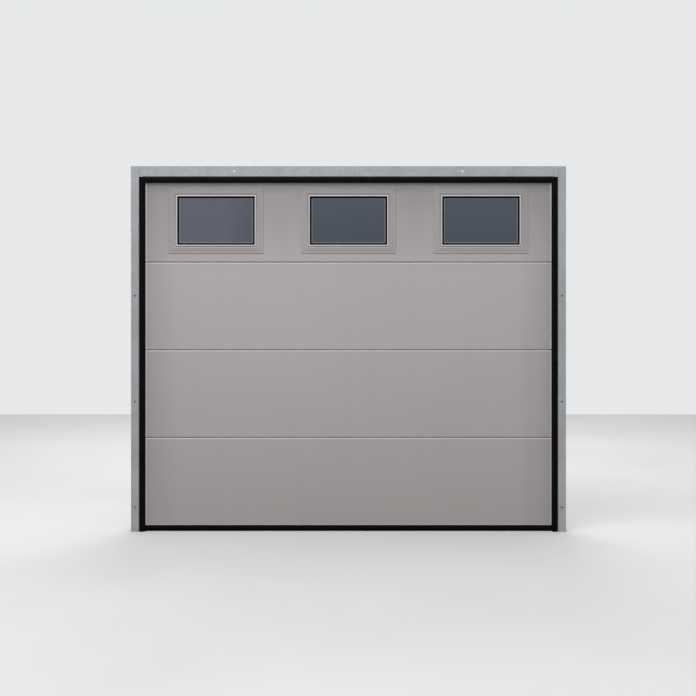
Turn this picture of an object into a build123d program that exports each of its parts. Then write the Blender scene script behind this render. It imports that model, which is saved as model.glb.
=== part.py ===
"""Sectional garage door, 2500 x 2145 mm clear, closed, on low-headroom tracks.

The leaf is four insulated steel sections, hinged to each other, with three moulded windows
in the top one. A black seal closes its edges on a frame of zinc-coated posts and a head rail.
Rollers on the leaf run in a vertical track, a bend and a ceiling track on each side, and the
top rollers run in an upper track of their own. Two torsion springs on a shaft behind the
ceiling tracks carry the leaf through drums and steel cables.

Millimetres. X runs across the door, Y runs from the street into the garage, Z is up. All
heights below are above the floor. The finished pieces are moved down, so that the origin is
the centre of the head rail's wall face.
"""

import os

from build123d import *

# The opening and the leaf
CLEAR_WIDTH = 2500
CLEAR_HEIGHT = 2145
LEAF_WIDTH = 2536
LEAF_THICKNESS = 40
LEAF_FRONT = 22
SECTION_COUNT = 4
SECTION_HEIGHT = 540
LEAF_TOP = 2195
FLOOR_SEAL_HEIGHT = 38
SECTION_GAP = 2

# The frame
SHEET = 2
POST_INNER_EDGE = 14
POST_WIDTH = 85
POST_DEPTH = 104
HEAD_HEIGHT = 100
SEAL_BAND = 35
BOLT_HOLE_RADIUS = 5.5
STRIP_SET_BACK = 3
WALL_FACE_EDGE = 38
WALL_BOLT_X = 1310
WALL_BOLT_HEIGHTS = (150, 800, 1450, 2100)
FLOOR_BOLT_X = 1308
FLOOR_BOLT_Y = 32
HEAD_BOLT_X = 700

# The tracks and rollers
TRACK_SHEET = 1.5
TRACK_WIDTH = 54
TRACK_DEPTH = 24
TRACK_SLOT = 30
ROLLER_Y = 76
ROLLER_RADIUS = 23
STEM_RADIUS = 5.5
TUBE_RADIUS = 8.5
BEND_RADIUS = 260
BEND_START = 1835
TRACK_FOOT = 20
TRACK_END_Y = 2560
UPPER_TRACK_HEIGHT = 2185
TOP_ROLLER_Y = 104
ROLLER_ABOVE_JOINT = 26
BOTTOM_ROLLER_HEIGHT = 72

# The plates that carry the tracks
PLATE_SHEET = 3
CEILING_HEIGHT = 2331
CEILING_BOLT_X = 1300
CEILING_BOLT_Y = 2535
TIE_BACK_Y = 2600
TIE_DEPTH = 35
TIE_LOW = 2150
TIE_HIGH = 2235

# The windows
WINDOW_PITCH = 815
WINDOW_HEIGHT_ABOVE_FLOOR = 1912
GASKET_WIDTH = 476
GASKET_HEIGHT = 298
GASKET_BAND = 10.5
WINDOW_HOLE_MARGIN = 13
PANE_MARGIN = 6
PANE_FRONT = 20
PANE_THICKNESS = 18
BEAD_WIDTH = 7.5

# The springs and cables
SHAFT_RADIUS = 12.7
SHAFT_Y = 2660
SHAFT_HEIGHT = 2195
SHAFT_END_X = 1345
DRUM_RADIUS = 55
FLANGE_RADIUS = 60
SPRING_RADIUS = 28
SPRING_BORE = 21
SPRING_START = 36
SPRING_LENGTH = 850
BORE_PLAY = 0.2
CABLE_RADIUS = 1.5
CABLE_X = 1287
CABLE_Y = 50
CABLE_PIN_HEIGHT = 100
CABLE_START = 105
PULLEY_RADIUS = 24

# The hinges
HINGE_SHEET = 2.5
SIDE_HINGE_WIDTH = 50
CENTRE_HINGE_WIDTH = 64
CENTRE_HINGE_PLACES = (-620, 0, 620)

# Worked out from the sizes above
HALF_CLEAR = CLEAR_WIDTH / 2
HALF_LEAF = LEAF_WIDTH / 2
LEAF_BACK = LEAF_FRONT + LEAF_THICKNESS
JOINTS = [LEAF_TOP - n * SECTION_HEIGHT for n in range(SECTION_COUNT - 1, 0, -1)]
SECTION_EDGES = [FLOOR_SEAL_HEIGHT, *JOINTS, LEAF_TOP]
POST_INNER_X = HALF_CLEAR + POST_INNER_EDGE
POST_OUTER_X = HALF_CLEAR + POST_WIDTH
WEB_X = POST_OUTER_X - SHEET
HEAD_TOP = CLEAR_HEIGHT + HEAD_HEIGHT
ORIGIN_HEIGHT = (HEAD_TOP + CLEAR_HEIGHT + WALL_FACE_EDGE) / 2
BEND_CENTRE_Y = ROLLER_Y + BEND_RADIUS
CEILING_TRACK_HEIGHT = BEND_START + BEND_RADIUS
CABLE_TOP = SHAFT_HEIGHT + DRUM_RADIUS
PULLEY_Y = CABLE_Y + PULLEY_RADIUS
PULLEY_HEIGHT = CABLE_TOP - PULLEY_RADIUS
WINDOW_CENTRES = [-WINDOW_PITCH, 0, WINDOW_PITCH]
CAP_SHEET = 1.2
CAP_BACK = LEAF_BACK + CAP_SHEET
CAP_END_X = HALF_LEAF + CAP_SHEET


def box(x0, x1, y0, y1, z0, z1):
    """A block between two corners."""
    return Pos((x0 + x1) / 2, (y0 + y1) / 2, (z0 + z1) / 2) * Box(x1 - x0, y1 - y0, z1 - z0)


def pulled(face, direction, length):
    """A face pulled along a direction, whichever way its outline was drawn."""
    return extrude(face, amount=length, dir=direction)


def rod(start, direction, length, radius):
    """A round bar from a point along a direction."""
    return pulled(Plane(origin=start, z_dir=direction) * Circle(radius), direction, length)


def rod_x(x0, x1, y, z, radius):
    """A round bar along X."""
    return rod((x0, y, z), (1, 0, 0), x1 - x0, radius)


def prism_x(x0, x1, y, z, radius, sides):
    """A bar of many sides along X, for small round pieces that repeat."""
    plane = Plane(origin=(x0, y, z), z_dir=(1, 0, 0))
    return pulled(plane * RegularPolygon(radius, sides), (1, 0, 0), x1 - x0)


def along_x(points, x0, x1):
    """An outline of (y, z) points, pulled along X."""
    return pulled(Plane.YZ.offset(x0) * Polygon(*points, align=None), (1, 0, 0), x1 - x0)


def turned_x(points, x_offset, y, z):
    """A body of revolution about a line along X, from (x, radius) points."""
    outline = Plane.XY * Polygon(*points, align=None)
    body = revolve(outline, axis=Axis.X, revolution_arc=360)
    return Pos(x_offset, y, z) * body


def other_side(shape):
    """The same piece on the left of the door."""
    return mirror(shape, about=Plane.YZ)


def both_sides(*shapes):
    """Pieces drawn on the right, and their mirror images on the left."""
    return [*shapes, *(other_side(s) for s in shapes)]


def write(node, *solids):
    """Moves the pieces to the door's own origin and writes them as one node."""
    moved = [Pos(0, 0, -ORIGIN_HEIGHT) * s for s in solids]
    shape = moved[0] if len(moved) == 1 else Compound(children=moved)
    export_step(shape, os.path.join("parts", node + ".step"))


def write_pair(name, shape):
    """Writes a piece drawn on the right, and its mirror image on the left."""
    write("right_" + name, shape)
    write("left_" + name, other_side(shape))


# The frame that is bolted to the wall


def wall_strip():
    """Edge of the frame's sheet: (outwards from the clear opening, y) points of its front and back.

    The strip that carries the seal is set back, so that the rest of the sheet lies flat on the wall.
    """
    back = STRIP_SET_BACK
    front_line = [(POST_INNER_EDGE, back), (WALL_FACE_EDGE - 2, back), (WALL_FACE_EDGE, 0)]
    back_line = [(x + 1 if x > POST_INNER_EDGE else x, y + SHEET) for x, y in front_line]
    return front_line, back_line


def post():
    """Right-hand corner post, an L of zinc-coated sheet with a floor tab, holed for its bolts."""
    front_line, back_line = wall_strip()
    outline = [*front_line, (POST_WIDTH, 0), (POST_WIDTH, POST_DEPTH), (POST_WIDTH - SHEET, POST_DEPTH),
               (POST_WIDTH - SHEET, SHEET), *reversed(back_line)]
    face = Pos(HALF_CLEAR, 0, 0) * Polygon(*outline, align=None)
    body = pulled(face, (0, 0, 1), HEAD_TOP)
    body += box(HALF_CLEAR + WALL_FACE_EDGE + 2, WEB_X, SHEET, 62, 0, 4)
    for height in WALL_BOLT_HEIGHTS:
        body -= rod((WALL_BOLT_X, -5, height), (0, 1, 0), 12, BOLT_HOLE_RADIUS)
    return body - rod((FLOOR_BOLT_X, FLOOR_BOLT_Y, -3), (0, 0, 1), 12, BOLT_HOLE_RADIUS)


def head_rail():
    """Rail over the opening: a wall flange that the seal clips to, and a stiffening top flange."""
    front_line, back_line = wall_strip()
    outline = [(y, CLEAR_HEIGHT + out) for out, y in front_line]
    outline += [(0, HEAD_TOP), (32, HEAD_TOP), (32, HEAD_TOP - 14), (30, HEAD_TOP - 14)]
    outline += [(30, HEAD_TOP - SHEET), (SHEET, HEAD_TOP - SHEET)]
    outline += [(y, CLEAR_HEIGHT + out) for out, y in reversed(back_line)]
    body = along_x(outline, -POST_INNER_X, POST_INNER_X)
    for x in (-HEAD_BOLT_X, HEAD_BOLT_X):
        body -= rod((x, -5, ORIGIN_HEIGHT), (0, 1, 0), 12, BOLT_HOLE_RADIUS)
    return body


def seal_face(plane):
    """Section of the edge seal. Local x runs outwards from the clear opening, local y into the garage.

    A clip grips the edge of the sheet, a ridge stiffens its front, and a curved lip reaches back
    to the face of the leaf.
    """
    lip_end = LEAF_FRONT - 0.3
    grip = POST_INNER_EDGE
    sheet_front = STRIP_SET_BACK
    sheet_back = STRIP_SET_BACK + SHEET
    outline = [
        Line((SEAL_BAND, sheet_front), (SEAL_BAND, 1.5)),
        ThreePointArc((SEAL_BAND, 1.5), (34.6, 0.4), (33.5, 0)),
        Line((33.5, 0), (27, 0)),
        ThreePointArc((27, 0), (23, -1.8), (19, 0)),
        Line((19, 0), (11, 0)),
        ThreePointArc((11, 0), (7.2, 1.2), (6, 4)),
        ThreePointArc((6, 4), (1.2, 12), (0, lip_end)),
        Line((0, lip_end), (3.2, lip_end)),
        ThreePointArc((3.2, lip_end), (4.4, 14), (9.5, 8)),
        Polyline((9.5, 8), (30, 8), (30, sheet_back), (grip, sheet_back), (grip, sheet_front),
                 (SEAL_BAND, sheet_front)),
    ]
    return plane * make_face(outline)


def side_seal():
    """Right-hand seal, from the floor up to a mitre at the corner."""
    plane = Plane(origin=(HALF_CLEAR, 0, 0), x_dir=(1, 0, 0), z_dir=(0, 0, 1))
    bar = pulled(seal_face(plane), (0, 0, 1), CLEAR_HEIGHT + SEAL_BAND)
    mitre = Plane(origin=(HALF_CLEAR, 0, CLEAR_HEIGHT), z_dir=(-1, 0, 1))
    return split(bar, bisect_by=mitre, keep=Keep.BOTTOM)


def head_seal():
    """Seal under the head rail, mitred at both ends."""
    reach = HALF_CLEAR + SEAL_BAND
    plane = Plane(origin=(reach, 0, CLEAR_HEIGHT), x_dir=(0, 0, 1), z_dir=(-1, 0, 0))
    bar = pulled(seal_face(plane), (-1, 0, 0), 2 * reach)
    for side in (-1, 1):
        mitre = Plane(origin=(side * HALF_CLEAR, 0, CLEAR_HEIGHT), z_dir=(-side, 0, 1))
        bar = split(bar, bisect_by=mitre, keep=Keep.TOP)
    return bar


# The tracks


def track_face(plane):
    """Section of a C-shaped track with lips. Local x points at the web, local y across the track."""
    half = TRACK_WIDTH / 2
    inner = half - TRACK_SHEET
    slot = TRACK_SLOT / 2
    lip = -TRACK_DEPTH
    cut = 2
    upper = [
        (-TRACK_SHEET, inner), (lip + TRACK_SHEET, inner), (lip + TRACK_SHEET, slot), (lip, slot),
        (lip, half - cut), (lip + cut, half), (-cut, half), (0, half - cut),
    ]
    lower = [(x, -y) for x, y in reversed(upper)]
    return plane * Polygon(*upper, *lower, align=None)


def vertical_track():
    """Right-hand track from near the floor to the start of the bend."""
    plane = Plane(origin=(WEB_X, ROLLER_Y, TRACK_FOOT), x_dir=(1, 0, 0), z_dir=(0, 0, 1))
    return pulled(track_face(plane), (0, 0, 1), BEND_START - TRACK_FOOT)


def bend_track():
    """Right-hand quarter bend from the vertical track to the ceiling track."""
    plane = Plane(origin=(WEB_X, ROLLER_Y, BEND_START), x_dir=(1, 0, 0), z_dir=(0, 0, 1))
    centre = Axis((0, BEND_CENTRE_Y, BEND_START), (-1, 0, 0))
    return revolve(track_face(plane), axis=centre, revolution_arc=90)


def level_track(y0, height):
    """Right-hand level track from a depth y0 to the back end."""
    plane = Plane(origin=(WEB_X, y0, height), x_dir=(1, 0, 0), z_dir=(0, 1, 0))
    return pulled(track_face(plane), (0, 1, 0), TRACK_END_Y - y0)


def corner_plate():
    """Right-hand gusset outside the post, with pads that carry the bend and both level tracks."""
    outline = [
        (12, 1780), (98, 1780), (110, 1900), (170, 1990), (300, 2064), (480, 2064),
        (480, 2216), (380, 2240), (12, 2240),
    ]
    cut_out = [(150, 2050), (190, 2085), (330, 2135), (330, 2150), (200, 2150), (150, 2120)]
    plate = along_x(outline, POST_OUTER_X, POST_OUTER_X + PLATE_SHEET)
    plate -= along_x(cut_out, POST_OUTER_X - 5, POST_OUTER_X + 9)
    pads = [(BEND_CENTRE_Y - BEND_RADIUS * c, BEND_START + BEND_RADIUS * s)
            for c, s in ((0.8, 0.6), (0.42, 0.9075))]
    pads += [(430, CEILING_TRACK_HEIGHT), (150, UPPER_TRACK_HEIGHT), (430, UPPER_TRACK_HEIGHT)]
    for y, z in pads:
        plate += box(WEB_X, POST_OUTER_X + 1, y - 10, y + 10, z - 10, z + 10)
    return plate


# The springs, shaft and cables


def shaft_bracket():
    """Right-hand end plate behind the level tracks, with the shaft's bearing."""
    outline = [(2470, 2064), (2570, 2064), (2722, 2140), (2722, 2262), (2470, 2262)]
    plate = along_x(outline, WEB_X, WEB_X + PLATE_SHEET)
    plate += prism_x(WEB_X - 10, WEB_X + 1, SHAFT_Y, SHAFT_HEIGHT, 26, 24)
    return plate - rod_x(WEB_X - 20, WEB_X + 20, SHAFT_Y, SHAFT_HEIGHT, SHAFT_RADIUS + BORE_PLAY)


def rear_hanger():
    """Right-hand angle and plate that hang the back of the tracks from the ceiling."""
    front, low = 2490, 2216
    plate_low = CEILING_HEIGHT - 4
    leg = box(WEB_X - PLATE_SHEET, WEB_X, front, front + 40, low, plate_low)
    web = box(WEB_X - 38, WEB_X, front, front + PLATE_SHEET, low, plate_low)
    plate = box(WEB_X - 66, WEB_X, front - 30, front + 70, plate_low, CEILING_HEIGHT)
    hole_start = (CEILING_BOLT_X, CEILING_BOLT_Y, plate_low - 7)
    return leg + web + plate - rod(hole_start, (0, 0, 1), 20, BOLT_HOLE_RADIUS)


def rear_tie_bar():
    """Channel between the two end plates, which carries the centre bracket."""
    front, web = TIE_BACK_Y - TIE_DEPTH, TIE_BACK_Y - SHEET
    inner_low, inner_high = TIE_LOW + SHEET, TIE_HIGH - SHEET
    outline = [
        (front, TIE_LOW), (TIE_BACK_Y, TIE_LOW), (TIE_BACK_Y, TIE_HIGH), (front, TIE_HIGH),
        (front, inner_high), (web, inner_high), (web, inner_low), (front, inner_low),
    ]
    return along_x(outline, -WEB_X, WEB_X)


def centre_bracket():
    """Bracket on the tie bar that carries the middle of the shaft and anchors both springs."""
    half_ring = 26
    base = box(-32, 32, TIE_BACK_Y, TIE_BACK_Y + 4, TIE_LOW + 8, TIE_HIGH - 3)
    outline = [(TIE_BACK_Y, SHAFT_HEIGHT - 33), (SHAFT_Y, SHAFT_HEIGHT - half_ring),
               (SHAFT_Y, SHAFT_HEIGHT + half_ring), (TIE_BACK_Y, SHAFT_HEIGHT + 33)]
    arm = along_x(outline, -3, 3)
    ring = prism_x(-9, 9, SHAFT_Y, SHAFT_HEIGHT, 30, 24)
    return base + arm + ring - rod_x(-20, 20, SHAFT_Y, SHAFT_HEIGHT, SHAFT_RADIUS + BORE_PLAY)


def torsion_spring():
    """Right-hand spring as a sleeve of its outer and inner size."""
    end = SPRING_LENGTH
    sleeve = [(0, SPRING_BORE), (0, SPRING_RADIUS), (end, SPRING_RADIUS), (end, SPRING_BORE)]
    return turned_x(sleeve, SPRING_START, SHAFT_Y, SHAFT_HEIGHT)


def spring_cones():
    """The two cast cones that hold the ends of the right-hand spring."""
    bore = SHAFT_RADIUS + BORE_PLAY
    end = SPRING_START + SPRING_LENGTH
    flare = [(9, bore), (9, 38), (SPRING_START, 31), (SPRING_START, bore)]
    fixed = turned_x(flare, 0, SHAFT_Y, SHAFT_HEIGHT)
    hub = prism_x(end, end + 42, SHAFT_Y, SHAFT_HEIGHT, 34, 16)
    hub -= rod_x(end - 1, end + 43, SHAFT_Y, SHAFT_HEIGHT, bore)
    for angle in (0, 90, 180, 270):
        bar_hole = Pos(end + 28, 0, 24) * extrude(RegularPolygon(6.5, 8), amount=20)
        hub -= Pos(0, SHAFT_Y, SHAFT_HEIGHT) * Rot(angle, 0, 0) * bar_hole
    return [fixed, hub]


def cable_drum():
    """Right-hand drum with a barrel for the cable between two flanges, and a hub."""
    barrel = DRUM_RADIUS - CABLE_RADIUS
    bore = SHAFT_RADIUS + BORE_PLAY
    profile = [
        (-46, bore), (-46, 24), (-26, 24), (-26, FLANGE_RADIUS),
        (-20, barrel), (18, barrel), (24, FLANGE_RADIUS), (24, bore),
    ]
    return turned_x(profile, CABLE_X, SHAFT_Y, SHAFT_HEIGHT)


def cable_pulley():
    """Right-hand sheave at the top of the post, with its bolt."""
    groove = PULLEY_RADIUS - 4
    sheave = [(-5, 0), (-5, 28), (0, groove), (5, 28), (5, 8), (WEB_X - CABLE_X, 8)]
    wheel = turned_x([*sheave, (WEB_X - CABLE_X, 0)], CABLE_X, PULLEY_Y, PULLEY_HEIGHT)
    return wheel + prism_x(CABLE_X - 11, CABLE_X - 4, PULLEY_Y, PULLEY_HEIGHT, 9, 6)


def lift_cable():
    """Right-hand cable from the bottom bracket over the pulley, and three quarters round the drum."""
    x = CABLE_X
    rope = RegularPolygon(CABLE_RADIUS, 4)
    foot = Plane(origin=(x, CABLE_Y, CABLE_START), x_dir=(1, 0, 0), z_dir=(0, 0, 1))
    over = Plane(origin=(x, CABLE_Y, PULLEY_HEIGHT), x_dir=(1, 0, 0), z_dir=(0, 0, 1))
    back = Plane(origin=(x, PULLEY_Y, CABLE_TOP), x_dir=(1, 0, 0), z_dir=(0, 1, 0))
    on_drum = Plane(origin=(x, SHAFT_Y, CABLE_TOP), x_dir=(1, 0, 0), z_dir=(0, 1, 0))
    pulley_axis = Axis((x, PULLEY_Y, PULLEY_HEIGHT), (-1, 0, 0))
    shaft_axis = Axis((x, SHAFT_Y, SHAFT_HEIGHT), (-1, 0, 0))
    rise = pulled(foot * rope, (0, 0, 1), PULLEY_HEIGHT - CABLE_START)
    bend = revolve(over * rope, axis=pulley_axis, revolution_arc=90)
    level = pulled(back * rope, (0, 1, 0), SHAFT_Y - PULLEY_Y)
    wound = revolve(on_drum * rope, axis=shaft_axis, revolution_arc=270)
    sleeve = Pos(0, 0, 10) * foot * RegularPolygon(3.6, 6)
    return rise + bend + level + wound + pulled(sleeve, (0, 0, 1), 30)


# The leaf


def section_outline(number):
    """Outline of one section in (y, z): a tongue on top, a groove below, and bevels at the front.

    The tongue curls over into the groove above it, so that no finger fits between two sections at
    any angle of the joint.
    """
    front = LEAF_FRONT
    back = LEAF_BACK
    is_first = number == 0
    is_last = number == SECTION_COUNT - 1
    bottom, joint = SECTION_EDGES[number], SECTION_EDGES[number + 1]
    low = bottom + (0 if is_first else SECTION_GAP / 2)
    high = joint - (0 if is_last else SECTION_GAP / 2)
    points = [(front + 5, low), (front, low + 5), (front, high - 6), (front + 6, high)]
    if is_first:
        points[:2] = [(front, low)]
    if is_last:
        points[-2:] = [(front, high)]
    else:
        points += [(front + 10, high), (front + 12, joint + 6), (front + 15, joint + 8)]
        points += [(back - 15, joint + 8), (back - 12, joint + 6), (back - 10, high)]
    points += [(back, high), (back, low)]
    if not is_first:
        points += [(back - 9, low), (back - 11, bottom + 8), (back - 14, bottom + 10)]
        points += [(front + 14, bottom + 10), (front + 11, bottom + 8), (front + 9, low)]
    return points


def section(number):
    """One section of the leaf, counted from the floor."""
    return along_x(section_outline(number), -HALF_LEAF, HALF_LEAF)


def window_section():
    """The top section, with a hole for each window."""
    body = section(SECTION_COUNT - 1)
    width = GASKET_WIDTH + 2 * WINDOW_HOLE_MARGIN
    height = GASKET_HEIGHT + 2 * WINDOW_HOLE_MARGIN
    hole = Box(width, 2 * LEAF_THICKNESS, height)
    for x in WINDOW_CENTRES:
        body -= Pos(x, (LEAF_FRONT + LEAF_BACK) / 2, WINDOW_HEIGHT_ABOVE_FLOOR) * hole
    return body


def end_cap(number):
    """Right-hand cap over the end of one section, with a flange behind it for the hinges."""
    bottom = SECTION_EDGES[number] + 10
    top = SECTION_EDGES[number + 1] - 10
    end = box(HALF_LEAF, CAP_END_X, LEAF_FRONT + 3, CAP_BACK, bottom, top)
    flange = box(HALF_LEAF - 62, CAP_END_X, LEAF_BACK, CAP_BACK, bottom, top)
    return end + flange


def bottom_rail():
    """Aluminium rail under the leaf, with two slots that hold the floor seal."""
    low = FLOOR_SEAL_HEIGHT - 10
    slot = [
        (-4.5, low), (-4.5, low + 3), (-6.5, low + 3), (-6.5, low + 6),
        (0.5, low + 6), (0.5, low + 3), (-1.5, low + 3), (-1.5, low),
    ]
    outline = [(26, low)]
    for centre in (37.5, 52.5):
        outline += [(centre + y, z) for y, z in slot]
    outline += [(58, low), (58, FLOOR_SEAL_HEIGHT), (26, FLOOR_SEAL_HEIGHT)]
    return along_x(outline, -HALF_LEAF, HALF_LEAF)


def floor_seal():
    """Hollow rubber seal along the floor, with a rib along its front. Its walls rise outside the rail."""
    top = FLOOR_SEAL_HEIGHT - 1
    outline = [
        Line((23, top), (23, 21)),
        ThreePointArc((23, 21), (21.9, 18), (23, 15)),
        Line((23, 15), (23, 6)),
        ThreePointArc((23, 6), (24.8, 1.8), (29, 0)),
        Line((29, 0), (56, 0)),
        ThreePointArc((56, 0), (60.2, 1.8), (62, 6)),
        Polyline((62, 6), (62, top), (58.5, top), (58.5, 5), (25.6, 5), (25.6, top), (23, top)),
    ]
    return pulled(Plane.YZ.offset(-HALF_LEAF) * make_face(outline), (1, 0, 0), LEAF_WIDTH)


# The windows


def window_bars(x, outline):
    """Four mitred bars round a window, from an outline of (distance outside the gasket, y) points."""
    half_w = GASKET_WIDTH / 2
    half_h = GASKET_HEIGHT / 2
    reach = 120
    bars = []
    for turn in (0, 90, 180, 270):
        length, half = (half_w, half_h) if turn % 180 == 0 else (half_h, half_w)
        bar = along_x([(y, half + d) for d, y in outline], -length - reach, length + reach)
        for end in (-1, 1):
            mitre = Plane(origin=(end * length, 0, half), z_dir=(-end, 0, 1))
            bar = split(bar, bisect_by=mitre, keep=Keep.TOP)
        bars.append(Pos(x, 0, WINDOW_HEIGHT_ABOVE_FLOOR) * Rot(0, turn, 0) * bar)
    return bars


def window_ring(x, outline):
    """The four bars round a window, joined."""
    first, second, third, fourth = window_bars(x, outline)
    return first + second + third + fourth


def window_frame(x):
    """Moulded outer frame: a groove beside the bead, two flat steps and a rim on the leaf's face."""
    lip_end = 42
    outline = [
        (BEAD_WIDTH, 15), (9.5, 12.5), (18, 12.5), (20, 15), (33, 15), (35, 17.5), (51, 18.2),
        (54.5, LEAF_FRONT), (10.5, LEAF_FRONT), (10.5, lip_end), (BEAD_WIDTH, lip_end),
    ]
    return window_ring(x, outline)


def glazing_bead(x):
    """Bead with rounded edges, which holds the gasket in the frame."""
    front = PANE_FRONT - 10
    outline = [
        (0, PANE_FRONT), (0, front + 1.5), (1.5, front), (BEAD_WIDTH - 1.5, front),
        (BEAD_WIDTH, front + 1.5), (BEAD_WIDTH, PANE_FRONT),
    ]
    return window_ring(x, outline)


def window_gasket(x):
    """Black rubber round the pane, sloping in to the glass, in four mitred lengths."""
    inner = -GASKET_BAND
    outline = [(inner, PANE_FRONT), (inner, 18.2), (-3, 14.6), (0, 14.4), (0, PANE_FRONT)]
    return window_bars(x, outline)


def inner_frame(x):
    """Frame that clamps the pane from the garage side."""
    front = PANE_FRONT + PANE_THICKNESS + 0.4
    outline = [
        (-8, front), (6, front), (6, LEAF_BACK), (33, LEAF_BACK),
        (31, LEAF_BACK + 5), (26, LEAF_BACK + 7), (-4, LEAF_BACK + 7), (-8, LEAF_BACK + 3),
    ]
    return window_ring(x, outline)


def window_pane(x):
    """Double pane between the two frames."""
    half_w = GASKET_WIDTH / 2 + PANE_MARGIN
    half_h = GASKET_HEIGHT / 2 + PANE_MARGIN
    z = WINDOW_HEIGHT_ABOVE_FLOOR
    return box(x - half_w, x + half_w, PANE_FRONT, PANE_FRONT + PANE_THICKNESS, z - half_h, z + half_h)


# Hinges, brackets and rollers on the back of the leaf


def hinge_plates(x, joint, back, width):
    """Two plates and the knuckle between them."""
    half = width / 2
    front = back + HINGE_SHEET
    lower = box(x - half, x + half, back, front, joint - 60, joint - 3)
    upper = box(x - half, x + half, back, front, joint + 3, joint + 60)
    knuckle = prism_x(x - half + 2, x + half - 2, back + 5.4, joint, 5.4, 8)
    return lower + upper + knuckle


def roller_carrier(x0, x1, z):
    """Folded carrier on the back of the leaf, with the tube that holds a roller's stem."""
    outline = [(CAP_BACK, z - 16), (ROLLER_Y, z - 8.5), (ROLLER_Y, z + 8.5), (CAP_BACK, z + 16)]
    return along_x(outline, x0, x1) + prism_x(x0, x1, ROLLER_Y, z, TUBE_RADIUS, 8)


def side_hinge(joint):
    """Right-hand hinge at one joint, with a carrier for the roller."""
    plates = hinge_plates(HALF_LEAF - 31, joint, CAP_BACK, SIDE_HINGE_WIDTH)
    return plates + roller_carrier(HALF_LEAF - 52, HALF_LEAF - 8, joint + ROLLER_ABOVE_JOINT)


def centre_hinge(x, joint):
    """Hinge between two sections, away from their ends."""
    return hinge_plates(x, joint, LEAF_BACK, CENTRE_HINGE_WIDTH)


def bottom_bracket():
    """Right-hand bracket at the bottom corner, with a roller carrier and the cable's pin."""
    low = FLOOR_SEAL_HEIGHT + 11
    high = 150
    outside, behind = CAP_END_X + PLATE_SHEET, CAP_BACK + PLATE_SHEET
    back = box(HALF_LEAF - 78, outside, CAP_BACK, behind, low, high)
    end = box(CAP_END_X, outside, 32, behind, low, high)
    carrier = roller_carrier(HALF_LEAF - 58, HALF_LEAF - 8, BOTTOM_ROLLER_HEIGHT)
    pin = prism_x(CAP_END_X, CABLE_X + 6, CABLE_Y, CABLE_PIN_HEIGHT, 5, 12)
    pin_head = prism_x(CABLE_X + 4, CABLE_X + 8, CABLE_Y, CABLE_PIN_HEIGHT, 8, 12)
    return back + end + carrier + pin + pin_head


def top_bracket():
    """Right-hand bracket at the top corner, which reaches back to the upper track's roller."""
    x = HALF_LEAF - 33
    plate = box(x - 30, x + 30, CAP_BACK, CAP_BACK + HINGE_SHEET, 2078, 2184)
    outline = [(CAP_BACK, 2100), (TOP_ROLLER_Y + 8, UPPER_TRACK_HEIGHT - 10),
               (TOP_ROLLER_Y + 8, UPPER_TRACK_HEIGHT + 8), (CAP_BACK, 2184)]
    cheeks = along_x(outline, x - 18, x - 15) + along_x(outline, x + 15, x + 18)
    tube = prism_x(x - 20, HALF_LEAF - 8, TOP_ROLLER_Y, UPPER_TRACK_HEIGHT, TUBE_RADIUS, 8)
    return plate + cheeks + tube


def roller(y, z):
    """Right-hand roller: a crowned nylon wheel and the stem that comes out of its tube."""
    x0 = HALF_LEAF - 8
    x1 = WEB_X - 13
    stem = prism_x(x0, x1, y, z, STEM_RADIUS, 8)
    rim = Plane(origin=(x1, y, z), z_dir=(1, 0, 0)) * RegularPolygon(ROLLER_RADIUS, 20)
    crown = extrude(rim, amount=6, taper=12) + extrude(rim, amount=-6, taper=12)
    return stem + crown


def rollers():
    """All the right-hand rollers, from the floor up."""
    places = [(ROLLER_Y, BOTTOM_ROLLER_HEIGHT)]
    places += [(ROLLER_Y, joint + ROLLER_ABOVE_JOINT) for joint in JOINTS]
    places += [(TOP_ROLLER_Y, UPPER_TRACK_HEIGHT)]
    return [roller(y, z) for y, z in places]


def main():
    os.makedirs("parts", exist_ok=True)

    write_pair("post", post())
    write("head_rail", head_rail())
    write_pair("side_seal", side_seal())
    write("head_seal", head_seal())

    write("vertical_tracks", *both_sides(vertical_track()))
    write("track_bends", *both_sides(bend_track()))
    write("ceiling_tracks", *both_sides(level_track(BEND_CENTRE_Y, CEILING_TRACK_HEIGHT)))
    write("upper_tracks", *both_sides(level_track(ROLLER_Y - 4, UPPER_TRACK_HEIGHT)))
    write("corner_plates", *both_sides(corner_plate()))

    write("shaft_brackets", *both_sides(shaft_bracket()))
    write("rear_hangers", *both_sides(rear_hanger()))
    write("rear_tie_bar", rear_tie_bar())
    write("centre_bracket", centre_bracket())
    write("torsion_shaft", rod_x(-SHAFT_END_X, SHAFT_END_X, SHAFT_Y, SHAFT_HEIGHT, SHAFT_RADIUS))
    write_pair("torsion_spring", torsion_spring())
    write("spring_cones", *both_sides(*spring_cones()))
    write("cable_drums", *both_sides(cable_drum()))
    write("cable_pulleys", *both_sides(cable_pulley()))
    write("lift_cables", *both_sides(lift_cable()))

    for number, name in enumerate(("bottom_section", "second_section", "third_section")):
        write(name, section(number))
    write("window_section", window_section())
    write("section_end_caps", *both_sides(*(end_cap(n) for n in range(SECTION_COUNT))))
    write("bottom_rail", bottom_rail())
    write("floor_seal", floor_seal())

    for x, name in zip(WINDOW_CENTRES, ("left", "centre", "right")):
        write(name + "_window_frame", window_frame(x))
        write(name + "_window_pane", window_pane(x))
    write("glazing_beads", *(glazing_bead(x) for x in WINDOW_CENTRES))
    write("window_gaskets", *(bar for x in WINDOW_CENTRES for bar in window_gasket(x)))
    write("inner_window_frames", *(inner_frame(x) for x in WINDOW_CENTRES))

    write("side_hinges", *both_sides(*(side_hinge(joint) for joint in JOINTS)))
    write("centre_hinges", *(centre_hinge(x, joint) for joint in JOINTS for x in CENTRE_HINGE_PLACES))
    write("bottom_brackets", *both_sides(bottom_bracket()))
    write("top_brackets", *both_sides(top_bracket()))
    write("rollers", *both_sides(*rollers()))


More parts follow.
